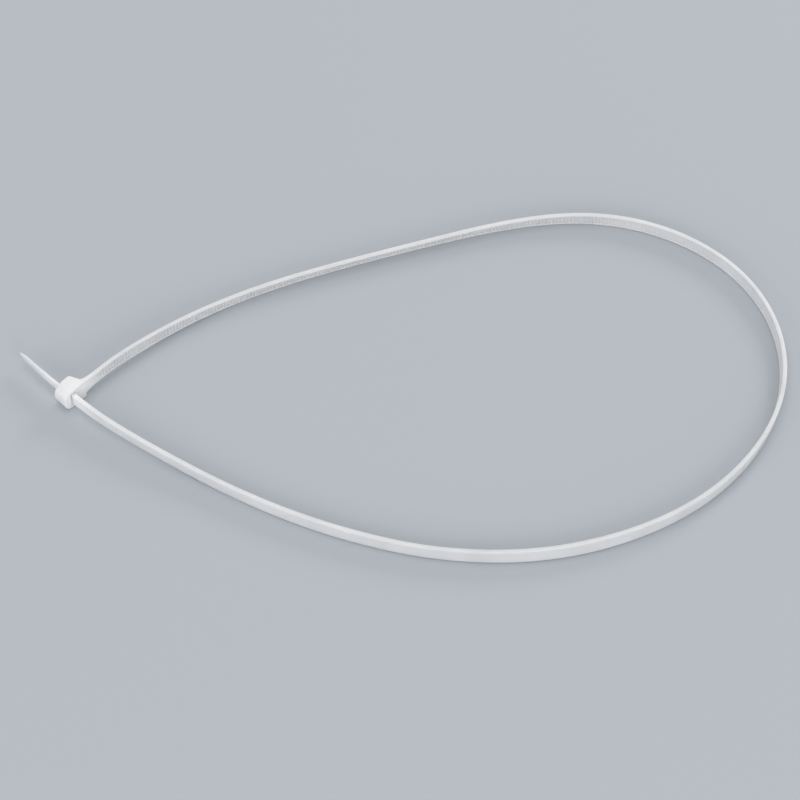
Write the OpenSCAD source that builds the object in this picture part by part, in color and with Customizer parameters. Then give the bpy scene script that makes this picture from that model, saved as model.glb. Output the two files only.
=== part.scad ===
// One-piece moulded cable tie, closed into a large loop and lying on the edge of its strap.
// Lengths are in millimetres. The origin is under the middle of the head's slot, on the bench.
// The strap leaves the head at its root, runs round the loop with its teeth on the inside,
// and comes back through the slot, where the pawl holds it.

/* [Strap] */
// Width of the toothed strap
strap_w = 4.8; // [4:0.1:5.6]
// Thickness of the strap over its two rails
strap_t = 1.5; // [1.3:0.05:1.7]
// Chamfer along both corners of the smooth outer face
strap_chamfer = 0.3; // [0.1:0.05:0.4]
// Width of the smooth rail on each side of the teeth
rail_w = 0.8; // [0.6:0.05:1]

/* [Teeth] */
// Distance from one tooth to the next
tooth_pitch = 1.2; // [1.1:0.05:1.5]
// Depth of the notches between the teeth
tooth_depth = 0.45; // [0.3:0.05:0.55]
// How far the tips of the teeth lie below the rails
tooth_drop = 0.1; // [0.05:0.05:0.2]

/* [Loop] */
// Reach of the loop from the slot to its far end
loop_long = 231; // [200:1:280]
// Breadth of the loop across its two flanks
loop_wide = 135; // [115:1:160]
// Direction in which the strap leaves the head
head_turn = 47; // [45:1:49]

/* [Head] */
// Width of the head, across the strap
head_w = 8.5; // [8:0.1:10]
// Depth of the head, along its slot
head_t = 5.5; // [5:0.1:6.5]
// Wall between the slot and the free end of the head
end_wall = 2.6; // [2:0.1:3]
// Reach of the head from the slot's middle to its root side, at the exit face
exit_reach = 3.4; // [3.3:0.1:4]
// Extra reach of the sloping root side at the entry face
root_slope = 2.2; // [1.8:0.1:2.6]
// Length of the flare in which the root narrows from the head to the strap
flare_len = 7.6; // [6:0.2:9]
// Distance from the entry face of the head to the inner face of the root
root_lift = 0.5; // [0.3:0.1:0.8]
// Step from each side of the head to the wide end of the flare
flare_step = 0.5; // [0.4:0.05:0.8]
// Radius of the two corners at the free end of the head
end_r = 3; // [1.4:0.1:3.4]
// Radius along the edges of the entry and exit faces
face_r = 0.6; // [0.3:0.1:1]

/* [Slot and pawl] */
// Clearance between the strap and the walls of the slot
slot_gap = 0.12; // [0.08:0.01:0.2]
// Size of the sloping lead-in at the slot's entry
lead_in = 0.5; // [0.2:0.1:0.7]
// Depth of solid head between its entry face and the pawl's pocket
pocket_floor = 1; // [0.8:0.05:1.2]
// Thickness of the pawl's arm
pawl_t = 0.8; // [0.6:0.05:0.9]
// Free space behind the pawl, into which it bends
pawl_gap = 0.5; // [0.3:0.05:0.6]
// Clearance on each side of the pawl
pawl_side = 0.15; // [0.1:0.05:0.25]
// Gap between the faces of the pawl's teeth and those of the strap
mesh_gap = 0.06; // [0.04:0.01:0.09]
// Number of teeth on the pawl
pawl_teeth = 3; // [2:1:3]
// Thickness of the hinge that joins the pawl to the head
hinge_t = 0.7; // [0.5:0.1:0.9]
// Distance of the pawl's tip from the exit face, and depth of its last slope
pawl_tip = 0.3; // [0.2:0.05:0.4]

/* [Tail] */
// Length of the tail, from the slot's middle to its tip
tail_len = 23.2; // [16:0.2:30]
// Width of the tail where it leaves the shoulder
tail_w = 3.2; // [2.6:0.1:3.8]
// Width of the tail just before its rounded tip
tip_w = 1.7; // [1.2:0.1:2.2]
// Thickness of the tail
tail_t = 1; // [0.8:0.05:1.1]
// How far the tip is bent towards the root side of the head
tail_bend = 0.9; // [0:0.1:3]
// Length of the shoulder in which the strap narrows to the tail
shoulder_len = 4; // [2:0.5:6]

/* [Hidden] */
nylon = [0.93, 0.94, 0.95];

// How far one solid reaches into another where the two are joined
sink = 0.05;
// How far a cutting solid reaches past the faces that it cuts
past = 1;
// Straight pieces in each rounded or curved edge of the head and tail
steps = 12;

// Head: x runs out along the root of the strap, y through the slot towards its exit
mid_z = head_w / 2;
entry_y = -head_t / 2;
exit_y = head_t / 2;
slot_half = strap_t / 2 + slot_gap;
end_x = -slot_half - end_wall;
wall_x = exit_reach + root_slope;
root_x = wall_x + flare_len;
plate_y = entry_y + root_lift;
plate_t = strap_t + 2 * sink;
root_y = plate_y + plate_t / 2;
channel_w = strap_w - 2 * rail_w;
crest_x = strap_t / 2 - tooth_drop;
pocket_x = crest_x + pawl_t + pawl_gap;
pocket_y = entry_y + pocket_floor;

// Loop: the points that guide the strap, each with its x, y and inward lean in degrees
guide_long = 231;
guide_wide = 135;
guides = [
    [18.8, 17.2, -6],
    [51.3, 42.5, 10],
    [114.1, 63.1, 25],
    [173.6, 81.5, -2],
    [225.1, 54, -10],
    [237.1, 1.8, -10],
    [206.4, -43.1, 1],
    [159.1, -62, 15],
    [122.3, -61.5, 6],
    [99, -56.4, 6],
    [65.6, -44.6, 5],
    [19.1, -16, -8]
];
// Length of strap over which it comes down from the head's middle to the bench
settle_len = 60;
root_step = 5;
slot_step = 10;
// Length of strap that is moulded into the flare
root_grip = 2.6;
start_x = root_x - root_grip;

out_dir = [cos(head_turn), sin(head_turn), 0];
slot_dir = [-sin(head_turn), cos(head_turn), 0];
start = start_x * out_dir + root_y * slot_dir;
control = concat(
    [start - root_step * out_dir, start, start + root_step * out_dir],
    [for (g = guides) [g[0] * loop_long / guide_long, g[1] * loop_wide / guide_wide, g[2]]],
    [for (k = [-1:1]) k * slot_step * slot_dir]
);

// A smooth curve drawn by the control points, its slope, and its length to each sample
function spline(u) =
    let (i = min(floor(u), len(control) - 4), f = u - i, g = 1 - f)
    (g ^ 3 * control[i] + (3 * f ^ 3 - 6 * f ^ 2 + 4) * control[i + 1]
        + (3 * g ^ 3 - 6 * g ^ 2 + 4) * control[i + 2] + f ^ 3 * control[i + 3]) / 6;
function slope(u) =
    let (i = min(floor(u), len(control) - 4), f = u - i, g = 1 - f)
    (-g ^ 2 * control[i] + (3 * f ^ 2 - 4 * f) * control[i + 1]
        + (4 * g - 3 * g ^ 2) * control[i + 2] + f ^ 2 * control[i + 3]) / 2;
function flat(v) = [v[0], v[1], 0];

samples = 24;
last_u = len(control) - 3;
course = [for (k = [0:last_u * samples]) flat(spline(k / samples))];
lengths = [
    for (k = 0, run = 0; k < len(course);
        run = run + (k + 1 < len(course) ? norm(course[k + 1] - course[k]) : 0), k = k + 1) run
];
route_len = lengths[len(lengths) - 1];
u_at = [for (k = [0:len(lengths) - 1]) [lengths[k], k / samples]];

function ease(x) = let (c = min(max(x, 0), 1)) c * c * (3 - 2 * c);
// Share of the way down from the head to the bench, at a distance along the strap
function settled(s) = ease(s / settle_len) * ease((route_len - head_t - s) / settle_len);
// Height of the strap's middle when its lower edge touches the bench
function edge_height(lean) = strap_w / 2 * cos(lean) + strap_t / 2 * abs(sin(lean));

// Where the strap is at a distance along it: its middle, outward direction and upward direction
function place(s) =
    let (
        u = lookup(s, u_at),
        p = spline(u) + max(0, s - route_len) * slot_dir,
        along = flat(slope(u)) / norm(flat(slope(u))),
        lean = s > route_len ? 0 : p[2],
        out = [-along[1], along[0], 0],
        z = mid_z + settled(s) * (edge_height(lean) - mid_z)
    )
    [
        [p[0], p[1], z],
        out * cos(lean) + [0, 0, sin(lean)],
        [0, 0, cos(lean)] - out * sin(lean)
    ];
function at(f, v, u) = f[0] + v * f[1] + u * f[2];

// Teeth are counted back from the slot's middle, so that they always meet the pawl's
teeth_back = floor(route_len / tooth_pitch);
teeth_past = floor(head_t / 2 / tooth_pitch);
teeth = teeth_back + teeth_past;
// Teeth in each flat bay of the strap's outer skin
bay = 3;
// Teeth by which the tail's start lies behind the end of the toothed strap
shoulder_back = 0.8;
bays = concat([for (k = [0:bay:teeth - 1]) k], [teeth]);
frames = [for (k = [0:teeth]) place(route_len + (k - teeth_back) * tooth_pitch)];

inner_v = -strap_t / 2;
crest_v = inner_v + tooth_drop;
notch_v = crest_v + tooth_depth;
tooth_ring = [
    [inner_v, -channel_w / 2], [crest_v, -channel_w / 2], [notch_v, -channel_w / 2],
    [notch_v, channel_w / 2], [crest_v, channel_w / 2], [inner_v, channel_w / 2]
];
skin_ring = [
    [inner_v, -strap_w / 2], [strap_t / 2 - strap_chamfer, -strap_w / 2],
    [strap_t / 2, strap_chamfer - strap_w / 2], [strap_t / 2, strap_w / 2 - strap_chamfer],
    [strap_t / 2 - strap_chamfer, strap_w / 2], [inner_v, strap_w / 2]
];
first_skin = 6 * (teeth + 1);
function t(k, n) = 6 * k + n;
function s(j, n) = first_skin + 6 * j + n;
function quad(a, b, c, d) = [[a, b, c], [a, c, d]];
function join(lists) = [for (l = lists) each l];

// Faces of one tooth: ramp, two channel walls, and the steep face at its back
function tooth_faces(k) = join([
    quad(t(k, 1), t(k, 4), t(k + 1, 3), t(k + 1, 2)),
    [[t(k, 0), t(k, 1), t(k + 1, 2)]],
    k + 1 < teeth ? quad(t(k, 0), t(k + 1, 2), t(k + 1, 1), t(k + 1, 0))
        : [[t(k, 0), t(k + 1, 2), t(k + 1, 0)]],
    [[t(k, 4), t(k, 5), t(k + 1, 3)]],
    k + 1 < teeth ? quad(t(k, 5), t(k + 1, 5), t(k + 1, 4), t(k + 1, 3))
        : [[t(k, 5), t(k + 1, 5), t(k + 1, 3)]],
    k > 0 ? quad(t(k, 1), t(k, 2), t(k, 3), t(k, 4)) : []
]);
// Faces of one bay: the outer skin, and the tops of both rails
function bay_faces(j) = join([
    join([for (n = [0:4]) quad(s(j, n), s(j + 1, n), s(j + 1, n + 1), s(j, n + 1))]),
    [for (k = [bays[j]:bays[j + 1] - 1]) [s(j, 0), t(k, 0), t(k + 1, 0)]],
    [[s(j, 0), t(bays[j + 1], 0), s(j + 1, 0)]],
    [for (k = [bays[j]:bays[j + 1] - 1]) [s(j, 5), t(k + 1, 5), t(k, 5)]],
    [[s(j, 5), s(j + 1, 5), t(bays[j + 1], 5)]]
]);
// Faces of one end of the strap, from its outer corners and the corners of its channel
function end_faces(o, c) = join([
    quad(o[0], o[1], c[1], c[0]),
    [[o[1], o[2], c[1]]],
    quad(o[2], o[3], c[2], c[1]),
    [[o[3], o[4], c[2]]],
    quad(o[4], o[5], c[3], c[2])
]);

module strap() {
    last = len(bays) - 1;
    polyhedron(
        points = concat(
            [for (f = frames) each [for (r = tooth_ring) at(f, r[0], r[1])]],
            [for (k = bays) each [for (r = skin_ring) at(frames[k], r[0], r[1])]]
        ),
        faces = concat(
            join([for (k = [0:teeth - 1]) tooth_faces(k)]),
            join([for (j = [0:last - 1]) bay_faces(j)]),
            end_faces([for (n = [0:5]) s(0, n)], [t(0, 0), t(0, 1), t(0, 4), t(0, 5)]),
            end_faces([for (n = [5:-1:0]) s(last, n)],
                [t(teeth, 5), t(teeth, 3), t(teeth, 2), t(teeth, 0)])
        ),
        convexity = 20
    );
}

// Puts a shape that was drawn in the head's own x and y where the head stands
module in_head() {
    rotate([0, 0, head_turn]) children();
}

// Extrudes a drawing of x and z along the whole of the slot's direction
module across_slot(depth) {
    translate([0, depth / 2, 0]) rotate([90, 0, 0]) linear_extrude(depth) children();
}

// The head seen along the strap's width, with its sloping root side
module head_side() {
    polygon([[end_x, entry_y], [wall_x, entry_y], [exit_reach, exit_y], [end_x, exit_y]]);
}

// Mirrors the upper edge of an outline down to its lower edge
function closed(top) = concat(top, [for (k = [len(top) - 1:-1:0]) [top[k][0], -top[k][1]]]);

// The head seen through its slot, with round corners at the free end
module head_front() {
    corner = [for (k = [0:steps]) let (q = 90 * k / steps)
        [end_x + end_r * (1 - cos(q)), head_w / 2 - end_r * (1 - sin(q))]];
    translate([0, mid_z]) polygon(closed(concat(corner, [[wall_x + past, head_w / 2]])));
}

// The head seen from its free end: rounded along the edges of the entry and exit faces
module head_end() {
    translate([-head_t / 2, face_r]) square([head_t, head_w - 2 * face_r]);
    translate([face_r - head_t / 2, 0]) square([head_t - 2 * face_r, head_w]);
    for (y = [-1, 1], z = [-1, 1])
        translate([y * (head_t / 2 - face_r), mid_z + z * (head_w / 2 - face_r)]) circle(face_r, $fn = 32);
}

module head_block() {
    intersection() {
        linear_extrude(head_w) head_side();
        across_slot(2 * head_t) head_front();
        translate([end_x - past, 0, 0]) rotate([90, 0, 90])
            linear_extrude(wall_x - end_x + 2 * past) head_end();
    }
}

// The root of the strap: a plate that narrows from the head's wall to the strap
module flare() {
    thin = strap_w / 2 + sink;
    rise = head_w / 2 - flare_step - thin;
    edge = [for (k = [0:steps]) let (q = 90 * k / steps)
        [root_x - flare_len * cos(q), thin + rise * (1 - sin(q))]];
    inside = [exit_reach - past, thin + rise];
    translate([0, plate_y + plate_t / 2, mid_z]) across_slot(plate_t) polygon(closed(concat([inside], edge)));
}

// The slot, with its lead-in, and the pocket in which the pawl moves
module slot_space() {
    slot_w = strap_w + 2 * slot_gap;
    pocket_w = channel_w + 2 * pawl_side;
    translate([0, 0, mid_z - slot_w / 2]) linear_extrude(slot_w) polygon([
        [-slot_half - lead_in, entry_y - past],
        [-slot_half - lead_in, entry_y],
        [-slot_half, entry_y + lead_in],
        [-slot_half, exit_y + past],
        [slot_half, exit_y + past],
        [slot_half, entry_y + lead_in],
        [slot_half + lead_in, entry_y],
        [slot_half + lead_in, entry_y - past]
    ]);
    translate([0, 0, mid_z - pocket_w / 2]) linear_extrude(pocket_w) polygon([
        [0, pocket_y],
        [pocket_x, pocket_y],
        [pocket_x, exit_y + past],
        [0, exit_y + past]
    ]);
}

// The pawl: an arm hinged near the entry, with teeth that sit in the strap's notches
module pawl() {
    pawl_w = channel_w - 2 * pawl_side;
    face_x = crest_x + mesh_gap;
    back_x = face_x + pawl_t;
    low_y = pocket_y - sink;
    // Steep faces of the strap's teeth lie at whole pitches from the slot's middle
    first = -floor(pawl_teeth / 2);
    bite = tooth_depth - mesh_gap;
    translate([0, 0, mid_z - pawl_w / 2]) linear_extrude(pawl_w) polygon(concat(
        [[pocket_x + sink, low_y], [face_x, low_y]],
        join([for (k = [first:first + pawl_teeth - 1]) let (y = k * tooth_pitch - mesh_gap)
            [[face_x, y - tooth_pitch + 2 * mesh_gap], [face_x - bite, y], [face_x, y]]]),
        [[face_x + pawl_tip, exit_y - pawl_tip], [back_x, exit_y - pawl_tip], [back_x, low_y + hinge_t],
            [pocket_x + sink, low_y + hinge_t]]
    ));
}

// The smooth tail beyond the teeth: it starts inside the strap, narrows to a round tip, and bends
module tail() {
    start_y = (teeth_past - shoulder_back) * tooth_pitch;
    wide = strap_w / 2 - strap_chamfer - sink;
    round_y = tail_len - tip_w / 2;
    shoulder = [for (k = [0:steps]) let (q = k / steps)
        [start_y + shoulder_len * q, wide + (tail_w / 2 - wide) * ease(q)]];
    tip = [for (k = [0:steps]) let (q = 90 * k / steps)
        [round_y + tip_w / 2 * sin(q), tip_w / 2 * cos(q)]];
    outline = concat(shoulder, tip, [for (k = [steps - 1:-1:0]) [tip[k][0], -tip[k][1]]],
        [for (k = [steps:-1:0]) [shoulder[k][0], -shoulder[k][1]]]);
    // Side view: the bend grows with the square of the distance from the start
    reach = tail_len - start_y + past;
    side = [for (k = [0:steps]) let (q = k / steps)
        [sink - strap_t / 2 + tail_bend * (q * reach / (tail_len - start_y)) ^ 2, start_y + q * reach]];
    intersection() {
        linear_extrude(head_w) polygon(concat(side, [for (k = [steps:-1:0]) side[k] + [tail_t, 0]]));
        translate([-strap_t, 0, mid_z]) rotate([90, 0, 90]) linear_extrude(2 * strap_t + tail_bend + past)
            polygon(outline);
    }
}

module cable_tie() {
    color(nylon) {
        strap();
        in_head() {
            difference() {
                head_block();
                slot_space();
            }
            flare();
            pawl();
            tail();
        }
    }
}

cable_tie();
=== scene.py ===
"""The looks of the cable tie: a finely rounded moulding in natural nylon, lying on a pale floor."""

import math

import bmesh
import bpy
import numpy as np
from mathutils import Matrix, Vector


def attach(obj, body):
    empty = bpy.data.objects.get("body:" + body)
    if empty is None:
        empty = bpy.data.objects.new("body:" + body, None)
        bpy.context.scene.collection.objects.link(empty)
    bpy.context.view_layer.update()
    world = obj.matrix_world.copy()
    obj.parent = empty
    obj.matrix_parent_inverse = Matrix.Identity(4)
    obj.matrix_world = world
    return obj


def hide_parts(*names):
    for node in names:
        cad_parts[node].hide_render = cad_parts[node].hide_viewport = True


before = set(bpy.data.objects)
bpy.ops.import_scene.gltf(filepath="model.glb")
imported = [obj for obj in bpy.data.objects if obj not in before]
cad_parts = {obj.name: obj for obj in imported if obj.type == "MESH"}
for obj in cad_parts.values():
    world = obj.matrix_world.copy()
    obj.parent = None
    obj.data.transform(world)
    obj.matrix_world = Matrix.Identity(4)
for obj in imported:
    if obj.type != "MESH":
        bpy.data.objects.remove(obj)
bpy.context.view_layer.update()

MM = 0.001

# Sizes of the moulding in millimetres, with the names and values of part.scad
STRAP_W, STRAP_T, STRAP_CHAMFER = 4.8, 1.5, 0.3
RAIL_W = 0.8
TOOTH_PITCH, TOOTH_DEPTH, TOOTH_DROP = 1.2, 0.45, 0.1
HEAD_TURN = 47
HEAD_W, HEAD_T = 8.5, 5.5
END_WALL, END_R = 2.6, 3.0
EXIT_REACH, ROOT_SLOPE = 3.4, 2.2
FLARE_LEN, FLARE_STEP, ROOT_LIFT = 7.6, 0.5, 0.5
SLOT_GAP = 0.12
POCKET_FLOOR = 1
PAWL_T, PAWL_GAP, PAWL_SIDE, PAWL_TIP = 0.8, 0.5, 0.15, 0.3
MESH_GAP, PAWL_TEETH, HINGE_T = 0.06, 3, 0.7
TAIL_LEN, TAIL_W, TAIL_T, TAIL_BEND = 23.2, 3.2, 1.0, 0.9
SHOULDER_LEN, SHOULDER_BACK = 4.0, 0.8
SINK, PAST = 0.05, 1
SETTLE_LEN = 60
ROOT_STEP, SLOT_STEP, ROOT_GRIP = 5, 10, 2.6
# Points that guide the strap, each with its x, y and inward lean in degrees
GUIDES = [
    (18.8, 17.2, -6),
    (51.3, 42.5, 10),
    (114.1, 63.1, 25),
    (173.6, 81.5, -2),
    (225.1, 54, -10),
    (237.1, 1.8, -10),
    (206.4, -43.1, 1),
    (159.1, -62, 15),
    (122.3, -61.5, 6),
    (99, -56.4, 6),
    (65.6, -44.6, 5),
    (19.1, -16, -8),
]

# Finish of the edges, in millimetres, where the solids are plainer:
# radius of the corners of the strap's outer face, and of its rails
OUTER_R, RAIL_R = 0.45, 0.25
# Radius of the corners of the tail's outer and inner face, and the most of its half width that each takes
TAIL_R, TAIL_INNER_R = 0.28, 0.2
TAIL_R_SHARE, TAIL_INNER_SHARE = 0.7, 0.35
# Radius of the head's rims, of the corners of its root side, and of its end at the exit face
RIM_R, WALL_R, END_R_EXIT = 0.45, 0.6, 4.1
# Size of the sloping lead-in at the slot's entry
LEAD_IN = 0.3
# The tail's point: its length, its width where it starts, the radius of its tip, and how its sides curve
POINT_LEN, POINT_W, POINT_R, POINT_POWER = 3.6, 2.3, 0.3, 1.6
# How far each face of the tail draws in along the point, and how much more at the very tip
POINT_PINCH, TIP_PINCH = 0.3, 0.15
# Each tooth: its steep face ends STEEP_LEN on and CREST_ROUND below the crest, which lies at CREST_AT,
# and its ramp ends at RAMP_END, NOTCH_ROUND above the bottom of the next notch
STEEP_LEN, CREST_AT, RAMP_END = 0.03, 0.1, 1.1
CREST_ROUND, NOTCH_ROUND = 0.05, 0.02
# The root's last section lies this far before the first tooth, and the tail's first this far past the last
ROOT_GAP, TAIL_GAP = 0.05, 0.02
# The strap's smooth outer face stays this far inside the solid, whose outer face has flat facets
SKIN = 0.02
# Points of a mesh that are nearer to each other than this are one point
WELD = 0.0001

# Fineness of the meshes: samples of the strap's course between two guides, and sections of root and tail
SPAN_SAMPLES = 200
ROOT_SECTIONS, TAIL_SECTIONS = 26, 36
# Where on the round tip of the tail its last sections lie, in degrees
TIP_ANGLES = (20, 40, 60, 75, 85)
# Points in the round corners of the outer face, the rails and the head, and steps across the head's rims
OUTER_POINTS, RAIL_POINTS, CORNER_POINTS, RIM_STEPS = 5, 3, 11, 5
# Where a line of points runs along each half of the flat outer face, and of the tail's inner face
OUTER_LINE, TAIL_LINE = 0.6, 0.3
# Edges that turn by more degrees than this look sharp
SHARP_ANGLE = 35

# Places worked out from the sizes: x, y and z are the head's own, and v is outward from the strap's middle
MID_Z = HEAD_W / 2
ENTRY_Y, EXIT_Y = -HEAD_T / 2, HEAD_T / 2
INNER_V, OUTER_V = -STRAP_T / 2, STRAP_T / 2 - SKIN
SLOT_HALF = STRAP_T / 2 + SLOT_GAP
END_X = -SLOT_HALF - END_WALL
WALL_X = EXIT_REACH + ROOT_SLOPE
ROOT_X = WALL_X + FLARE_LEN
ROOT_Y = ENTRY_Y + ROOT_LIFT + STRAP_T / 2 + SINK
START_X = ROOT_X - ROOT_GRIP
CHANNEL_W = STRAP_W - 2 * RAIL_W
CREST_X = STRAP_T / 2 - TOOTH_DROP
POCKET_X = CREST_X + PAWL_T + PAWL_GAP
POCKET_Y = ENTRY_Y + POCKET_FLOOR
TEETH_PAST = math.floor(HEAD_T / 2 / TOOTH_PITCH)
TAIL_START = (TEETH_PAST - SHOULDER_BACK) * TOOTH_PITCH
TIP_Y = TAIL_LEN - POINT_R

turn = math.radians(HEAD_TURN)
OUT_DIR = np.array([math.cos(turn), math.sin(turn)])
SLOT_DIR = np.array([-math.sin(turn), math.cos(turn)])

# Natural nylon: colours of its flow clouds, and of the thick head
CLOUD_DARK, CLOUD_LIGHT = (0.71, 0.715, 0.73), (0.78, 0.785, 0.795)
HEAD_COLOR = (0.94, 0.945, 0.95)
# The head's colour reaches the first distance from the origin, and is gone at the second, in metres
HEAD_NEAR, HEAD_FAR = 0.008, 0.014
# Repeats per metre of the clouds, the satin's patches and the moulded grain, and the grain's depth in metres
CLOUD_SCALE, SATIN_SCALE, GRAIN_SCALE = 90, 400, 3500
GRAIN_DEPTH = 0.00008
SATIN_SMOOTH, SATIN_ROUGH = 0.34, 0.46
# The part of a noise's range that a colour ramp spreads out
RAMP_LOW, RAMP_HIGH = 0.3, 0.7

# Colour of the floor, and the side of its square in metres
FLOOR_COLOR = (0.505, 0.54, 0.58)
FLOOR_SIZE = 6
# Strength of the even light from all round, and the point that the soft lights face
SKY_STRENGTH = 0.56
LIGHT_AIM = (0.1, 0, 0)
# Soft lights: name, place and side of the square in metres, power in watts
LIGHTS = [
    ("key", (-0.1, 0.3, 1.2), 0.7, 2.2),
    ("fill", (0.6, -1.1, 0.5), 0.7, 4.4),
    ("side", (-0.9, -0.7, 0.5), 0.7, 2.8),
    ("rim", (0.9, 1.1, 0.6), 0.5, 5.4),
]

# The photo's view: its frame and focal length in pixels, its scale, the camera's elevation in degrees,
# and the point on the floor, in millimetres, that lies at the frame's middle
FRAME_PX = 800
FOCAL_PX = 3300
PX_PER_MM = 3.1
ELEVATION = 54
AIM = (106.74, 0.59)
# Width of the camera's sensor in millimetres, and how far it sees in metres
SENSOR_W = 36
FAR_CLIP = 20


def ease(x):
    """Goes smoothly from 0 to 1 as x does."""
    c = np.clip(x, 0, 1)
    return c * c * (3 - 2 * c)


class Route:
    """The strap's course from the head's root round to the slot, as part.scad draws it."""

    def __init__(self):
        start = START_X * OUT_DIR + ROOT_Y * SLOT_DIR
        root = [(*(start + k * ROOT_STEP * OUT_DIR), 0) for k in (-1, 0, 1)]
        slot = [(*(k * SLOT_STEP * SLOT_DIR), 0) for k in (-1, 0, 1)]
        self.control = np.array(root + GUIDES + slot, float)
        self.spans = len(self.control) - 3
        self.u = np.linspace(0, self.spans, self.spans * SPAN_SAMPLES + 1)
        steps = np.linalg.norm(np.diff(self.spline(self.u)[:, :2], axis=0), axis=1)
        self.run = np.concatenate([[0], np.cumsum(steps)])
        self.length = self.run[-1]
        # Teeth are counted back from the slot's middle, so that they meet the pawl's
        teeth_back = math.floor(self.length / TOOTH_PITCH)
        self.teeth = teeth_back + TEETH_PAST
        self.first_tooth = self.length - teeth_back * TOOTH_PITCH
        self.teeth_end = self.first_tooth + self.teeth * TOOTH_PITCH

    def parts(self, u):
        """The four control points that act at each u, and the shares of its span before and after it."""
        i = np.minimum(u.astype(int), self.spans - 1)
        f = (u - i)[:, None]
        return self.control[i], self.control[i + 1], self.control[i + 2], self.control[i + 3], f, 1 - f

    def spline(self, u):
        """Points of the smooth curve, each with its x, y and lean."""
        a, b, c, d, f, g = self.parts(u)
        return (g**3 * a + (3 * f**3 - 6 * f**2 + 4) * b + (3 * g**3 - 6 * g**2 + 4) * c + f**3 * d) / 6

    def slope(self, u):
        """How the points of the curve change with u."""
        a, b, c, d, f, g = self.parts(u)
        return (-(g**2) * a + (3 * f**2 - 4 * f) * b + (4 * g - 3 * g**2) * c + f**2 * d) / 2

    def frames(self, s):
        """Middle, outward direction and upward direction of the strap at the distances s along it."""
        u = np.interp(s, self.run, self.u)
        p, along = self.spline(u), self.slope(u)[:, :2]
        along /= np.linalg.norm(along, axis=1)[:, None]
        beyond = np.where(s > self.length, s - self.length, np.minimum(s, 0))
        lean = np.radians(np.where((s > self.length) | (s < 0), 0, p[:, 2]))
        xy = p[:, :2] + beyond[:, None] * along
        settled = ease(s / SETTLE_LEN) * ease((self.length - HEAD_T - s) / SETTLE_LEN)
        edge = STRAP_W / 2 * np.cos(lean) + STRAP_T / 2 * abs(np.sin(lean))
        z = MID_Z + settled * (edge - MID_Z)
        out = np.column_stack([-along[:, 1], along[:, 0]])
        middle = np.column_stack([xy, z])
        outward = np.column_stack([out * np.cos(lean)[:, None], np.sin(lean)])
        upward = np.column_stack([-out * np.sin(lean)[:, None], np.cos(lean)])
        return middle, outward, upward


def clean_mesh(piece):
    """Joins points that lie on each other, and turns all faces outwards."""
    bm = bmesh.new()
    bm.from_mesh(piece.data)
    bmesh.ops.remove_doubles(bm, verts=bm.verts, dist=WELD)
    bmesh.ops.recalc_face_normals(bm, faces=bm.faces)
    bm.to_mesh(piece.data)
    bm.free()


def loft(name, rings):
    """A closed mesh through rings of equally many points, with a flat face at each end."""
    count = len(rings[0])
    faces = []
    for j in range(len(rings) - 1):
        a, b = j * count, (j + 1) * count
        faces += [(a + k, a + (k + 1) % count, b + (k + 1) % count, b + k) for k in range(count)]
    last = (len(rings) - 1) * count
    faces.append(tuple(range(count - 1, -1, -1)))
    faces.append(tuple(range(last, last + count)))
    mesh = bpy.data.meshes.new(name)
    mesh.from_pydata([tuple(point) for ring in rings for point in ring], [], faces)
    mesh.validate()
    mesh.update()
    piece = bpy.data.objects.new(name, mesh)
    bpy.context.scene.collection.objects.link(piece)
    clean_mesh(piece)
    return piece


def combine(piece, other, operation):
    """Adds the other piece to this one, or cuts it out of this one."""
    modifier = piece.modifiers.new("combine", "BOOLEAN")
    modifier.object = other
    modifier.operation = operation
    modifier.solver = "EXACT"
    bpy.context.view_layer.update()
    graph = bpy.context.evaluated_depsgraph_get()
    mesh = bpy.data.meshes.new_from_object(piece.evaluated_get(graph))
    piece.modifiers.clear()
    piece.data = mesh
    bpy.data.objects.remove(other)


def arc(centre_a, centre_b, radius, start, count):
    """Points on a quarter circle that starts at an angle in degrees."""
    angles = np.radians(np.linspace(start, start + 90, count))
    return [(centre_a + radius * math.cos(q), centre_b + radius * math.sin(q)) for q in angles]


def section(half_w, outer_v, inner_v, floor_v, half_channel, outer_r, inner_r):
    """Half a section of strap or tail, from the middle of its outer face round to its channel's floor.

    Each point is (v, u): how far it lies outward and upward from the strap's middle.
    """
    half = [(outer_v, 0.0), (outer_v, (half_w - outer_r) * OUTER_LINE)]
    half += arc(outer_v - outer_r, half_w - outer_r, outer_r, 0, OUTER_POINTS)
    half += arc(inner_v + inner_r, half_w - inner_r, inner_r, 90, RAIL_POINTS)
    rim = min(half_channel + inner_r, half_w - inner_r)
    # Where the channel is shallow, the rail's corner ends at its floor
    half += [(min(v, floor_v), u) for v, u in arc(inner_v + inner_r, rim, inner_r, 180, RAIL_POINTS)]
    half.append((floor_v, half_channel))
    return half


def strap_section(x, floor_v):
    """Half a section of the root or strap, where x is counted along the root from the slot's middle."""
    rise = HEAD_W / 2 - FLARE_STEP - STRAP_W / 2
    reach = min(1.0, max(0.0, (ROOT_X - x) / FLARE_LEN))
    half_w = STRAP_W / 2 + rise * (1 - math.sqrt(1 - reach**2))
    return section(half_w, OUTER_V, INNER_V, floor_v, CHANNEL_W / 2, OUTER_R, RAIL_R)


def root_sections(route):
    """Distances along the strap and half sections, from inside the head to the first tooth."""
    end_x = START_X + route.first_tooth - ROOT_GAP
    places = np.linspace(EXIT_REACH - PAST, end_x, ROOT_SECTIONS)
    return [(x - ROOT_X + ROOT_GRIP, strap_section(x, INNER_V)) for x in places]


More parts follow.
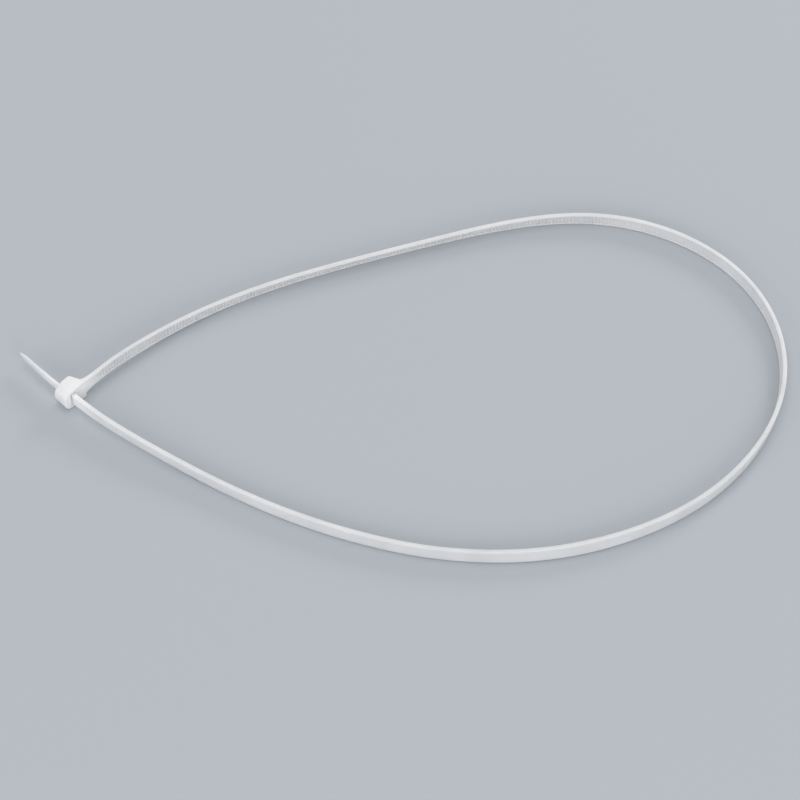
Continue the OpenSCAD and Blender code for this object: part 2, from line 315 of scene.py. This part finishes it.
def tooth_sections(route):
    """Distances along the strap and half sections, four for each tooth and one after the last."""
    depths = []
    for k in range(route.teeth):
        s = route.first_tooth + k * TOOTH_PITCH
        depths += [
            (s, TOOTH_DEPTH if k else 0.0),
            (s + STEEP_LEN, CREST_ROUND),
            (s + CREST_AT, 0.0),
            (s + RAMP_END, TOOTH_DEPTH - NOTCH_ROUND),
        ]
    depths.append((route.teeth_end, TOOTH_DEPTH))
    return [(s, strap_section(s + ROOT_X - ROOT_GRIP, INNER_V + TOOTH_DROP + depth)) for s, depth in depths]


def tail_half_width(y):
    """Half the tail's width at a distance from the slot's middle, without its round tip."""
    wide = STRAP_W / 2 - STRAP_CHAMFER - SINK
    neck, point_y = TAIL_START + SHOULDER_LEN, TAIL_LEN - POINT_LEN
    if y < neck:
        return wide + (TAIL_W / 2 - wide) * ease((y - TAIL_START) / SHOULDER_LEN)
    if y < point_y:
        return TAIL_W / 2 + (POINT_W - TAIL_W) / 2 * (y - neck) / (point_y - neck)
    return POINT_R + (POINT_W / 2 - POINT_R) * (1 - ((y - point_y) / POINT_LEN) ** POINT_POWER)


def tail_section(y):
    """Half a section of the tail at a distance from the slot's middle."""
    end = math.sqrt(1 - max(0, (y - TIP_Y) / POINT_R) ** 2)
    half_w = tail_half_width(y) * end
    pinch = POINT_PINCH * ease((y - TAIL_LEN + POINT_LEN) / POINT_LEN) + TIP_PINCH * (1 - end)
    bend = TAIL_BEND * ((y - TAIL_START) / (TAIL_LEN - TAIL_START)) ** 2
    outer_v = OUTER_V - SINK - pinch - bend
    inner_v = OUTER_V - SINK - TAIL_T + pinch - bend
    outer_r = min(TAIL_R, half_w * TAIL_R_SHARE)
    inner_r = min(TAIL_INNER_R, half_w * TAIL_INNER_SHARE)
    return section(half_w, outer_v, inner_v, inner_v, half_w * TAIL_LINE, outer_r, inner_r)


def tail_sections(route):
    """Distances along the strap and half sections, from the last tooth to the tail's tip."""
    places = list(np.linspace(route.teeth_end - route.length + TAIL_GAP, TIP_Y, TAIL_SECTIONS))
    places += [TIP_Y + POINT_R * math.sin(math.radians(q)) for q in TIP_ANGLES]
    return [(route.length + y, tail_section(y)) for y in places]


def make_strap():
    """Root, toothed strap and tail as one sweep of rounded sections."""
    route = Route()
    distances, halves = zip(*root_sections(route), *tooth_sections(route), *tail_sections(route))
    rings = []
    for middle, outward, upward, half in zip(*route.frames(np.array(distances)), halves):
        ring = half + [(v, -u) for v, u in reversed(half[1:])]
        rings.append([middle + v * outward + u * upward for v, u in ring])
    return loft("strap", rings)


def in_row(x, y, z):
    """A point of the head's own frame in the row's frame, both in millimetres."""
    return (*(x * OUT_DIR + y * SLOT_DIR), z)


def prism(name, outline, width):
    """An outline in the head's own x and y, extruded to a width about the head's middle."""
    return loft(name, [[in_row(x, y, z) for x, y in outline] for z in (MID_Z - width / 2, MID_Z + width / 2)])


def head_ring(y, inset):
    """The head's outline at one level along the slot, with round corners, drawn in by the inset."""
    rise = (y - ENTRY_Y) / HEAD_T
    wall_x = WALL_X - ROOT_SLOPE * rise
    end_r = END_R + (END_R_EXIT - END_R) * rise
    corners = [
        (wall_x - WALL_R, WALL_R, WALL_R, -90),
        (wall_x - WALL_R, HEAD_W - WALL_R, WALL_R, 0),
        (END_X + end_r, HEAD_W - end_r, end_r, 90),
        (END_X + end_r, end_r, end_r, 180),
    ]
    points = []
    for x, z, r, start in corners:
        points += arc(x, z, r - inset, start, CORNER_POINTS)
    return [in_row(x, y, z) for x, z in points]


def head_block():
    """The head without its slot, lofted from the entry face to the exit face, with round rims."""
    rim = []
    for k in range(RIM_STEPS + 1):
        q = math.radians(90 / RIM_STEPS * k)
        rim.append((RIM_R * (1 - math.cos(q)), RIM_R * (1 - math.sin(q))))
    rings = [head_ring(ENTRY_Y + depth, inset) for depth, inset in rim]
    rings += [head_ring(EXIT_Y - depth, inset) for depth, inset in reversed(rim)]
    return loft("head", rings)


def make_slot():
    """The space of the slot, with its lead-in."""
    mouth = SLOT_HALF + LEAD_IN
    return prism("slot", [
        (-mouth, ENTRY_Y - PAST),
        (-mouth, ENTRY_Y),
        (-SLOT_HALF, ENTRY_Y + LEAD_IN),
        (-SLOT_HALF, EXIT_Y + PAST),
        (SLOT_HALF, EXIT_Y + PAST),
        (SLOT_HALF, ENTRY_Y + LEAD_IN),
        (mouth, ENTRY_Y),
        (mouth, ENTRY_Y - PAST),
    ], STRAP_W + 2 * SLOT_GAP)


def make_pocket():
    """The space in which the pawl moves, open towards the slot and the exit face."""
    return prism("pocket", [
        (0, POCKET_Y),
        (POCKET_X, POCKET_Y),
        (POCKET_X, EXIT_Y + PAST),
        (0, EXIT_Y + PAST),
    ], CHANNEL_W + 2 * PAWL_SIDE)


def make_pawl():
    """The pawl: an arm on its hinge, with teeth that stand in the strap's notches."""
    face_x = CREST_X + MESH_GAP
    low_y = POCKET_Y - SINK
    first = -(PAWL_TEETH // 2)
    bite = TOOTH_DEPTH - MESH_GAP
    outline = [(POCKET_X + SINK, low_y), (face_x, low_y)]
    for k in range(first, first + PAWL_TEETH):
        y = k * TOOTH_PITCH - MESH_GAP
        outline += [(face_x, y - TOOTH_PITCH + 2 * MESH_GAP), (face_x - bite, y), (face_x, y)]
    outline += [
        (face_x + PAWL_TIP, EXIT_Y - PAWL_TIP),
        (face_x + PAWL_T, EXIT_Y - PAWL_TIP),
        (face_x + PAWL_T, low_y + HINGE_T),
        (POCKET_X + SINK, low_y + HINGE_T),
    ]
    return prism("pawl", outline, CHANNEL_W - 2 * PAWL_SIDE)


def make_head():
    """Head block with its slot, the pawl's pocket, and the pawl."""
    head = head_block()
    combine(head, make_slot(), "DIFFERENCE")
    combine(head, make_pocket(), "DIFFERENCE")
    combine(head, make_pawl(), "UNION")
    return head


def nylon():
    """Natural nylon: milky, faintly cool, satin, with flow clouds and a fine moulded grain."""
    material = bpy.data.materials.new("nylon")
    material.use_nodes = True
    nodes, links = material.node_tree.nodes, material.node_tree.links
    shader = nodes["Principled BSDF"]
    shader.inputs["IOR"].default_value = 1.53
    shader.inputs["Subsurface Weight"].default_value = 0.85
    shader.inputs["Subsurface Radius"].default_value = (1.0, 1.0, 1.0)
    shader.inputs["Subsurface Scale"].default_value = 0.0016
    place = nodes.new("ShaderNodeTexCoord")

    def noise(scale, detail):
        """A noise that is fixed to the piece."""
        node = nodes.new("ShaderNodeTexNoise")
        node.inputs["Scale"].default_value = scale
        node.inputs["Detail"].default_value = detail
        links.new(place.outputs["Object"], node.inputs["Vector"])
        return node.outputs["Fac"]

    def ramp(factor, low, high, first, last):
        """A colour that goes from the first to the last as the factor goes from low to high."""
        node = nodes.new("ShaderNodeValToRGB")
        for element, position, color in zip(node.color_ramp.elements, (low, high), (first, last)):
            element.position = position
            element.color = (*color, 1)
        links.new(factor, node.inputs["Fac"])
        return node.outputs["Color"]

    clouds = ramp(noise(CLOUD_SCALE, detail=4), RAMP_LOW, RAMP_HIGH, CLOUD_DARK, CLOUD_LIGHT)
    # The thick head lets less light through than the strap, and so looks whiter
    reach = nodes.new("ShaderNodeVectorMath")
    reach.operation = "LENGTH"
    links.new(place.outputs["Object"], reach.inputs[0])
    thick = ramp(reach.outputs["Value"], HEAD_NEAR, HEAD_FAR, (1, 1, 1), (0, 0, 0))
    tint = nodes.new("ShaderNodeMix")
    tint.data_type = "RGBA"
    links.new(thick, tint.inputs["Factor"])
    links.new(clouds, tint.inputs["A"])
    tint.inputs["B"].default_value = (*HEAD_COLOR, 1)
    links.new(tint.outputs["Result"], shader.inputs["Base Color"])
    satin = ramp(noise(SATIN_SCALE, detail=3), RAMP_LOW, RAMP_HIGH, (SATIN_SMOOTH,) * 3, (SATIN_ROUGH,) * 3)
    links.new(satin, shader.inputs["Roughness"])
    bump = nodes.new("ShaderNodeBump")
    bump.inputs["Strength"].default_value = 0.15
    bump.inputs["Distance"].default_value = GRAIN_DEPTH
    links.new(noise(GRAIN_SCALE, detail=3), bump.inputs["Height"])
    links.new(bump.outputs["Normal"], shader.inputs["Normal"])
    return material


def make_tie():
    """The whole moulding in nylon, in metres, in place of the plainer solid."""
    tie = make_strap()
    combine(tie, make_head(), "UNION")
    clean_mesh(tie)
    tie.name = "cable_tie_moulding"
    tie.data.transform(Matrix.Scale(MM, 4))
    tie.data.materials.append(nylon())
    for face in tie.data.polygons:
        face.use_smooth = True
    tie.data.set_sharp_from_angle(angle=math.radians(SHARP_ANGLE))
    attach(tie, "root")
    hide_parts("cable_tie")


def camera():
    """The photo's view of the tie."""
    data = bpy.data.cameras.new("camera")
    data.sensor_width = SENSOR_W
    data.lens = FOCAL_PX / FRAME_PX * SENSOR_W
    data.clip_end = FAR_CLIP
    view = bpy.data.objects.new("camera", data)
    bpy.context.scene.collection.objects.link(view)
    e = math.radians(ELEVATION)
    away = FOCAL_PX / PX_PER_MM * MM
    view.location = (AIM[0] * MM, AIM[1] * MM - away * math.cos(e), away * math.sin(e))
    view.rotation_euler = (math.pi / 2 - e, 0, 0)
    bpy.context.scene.camera = view


def floor():
    """A plain pale floor."""
    bpy.ops.mesh.primitive_plane_add(size=FLOOR_SIZE)
    plane = bpy.context.object
    plane.name = "floor"
    material = bpy.data.materials.new("floor")
    material.use_nodes = True
    shader = material.node_tree.nodes["Principled BSDF"]
    shader.inputs["Base Color"].default_value = (*FLOOR_COLOR, 1)
    shader.inputs["Roughness"].default_value = 0.75
    plane.data.materials.append(material)


def softbox(name, place, size, watts):
    """A soft square light that faces the tie."""
    data = bpy.data.lights.new(name, "AREA")
    data.shape = "SQUARE"
    data.size = size
    data.energy = watts
    lamp = bpy.data.objects.new(name, data)
    bpy.context.scene.collection.objects.link(lamp)
    lamp.location = place
    direction = np.array(LIGHT_AIM) - np.array(place)
    lamp.rotation_euler = Vector(direction).to_track_quat("-Z", "Y").to_euler()


def light():
    """Even light from all round, and the soft lights."""
    world = bpy.data.worlds.new("studio")
    bpy.context.scene.world = world
    world.use_nodes = True
    sky = world.node_tree.nodes["Background"]
    sky.inputs["Color"].default_value = (1, 1, 1, 1)
    sky.inputs["Strength"].default_value = SKY_STRENGTH
    for name, place, size, watts in LIGHTS:
        softbox(name, place, size, watts)


bpy.context.scene.view_settings.view_transform = "Standard"
camera()
floor()
light()
make_tie()
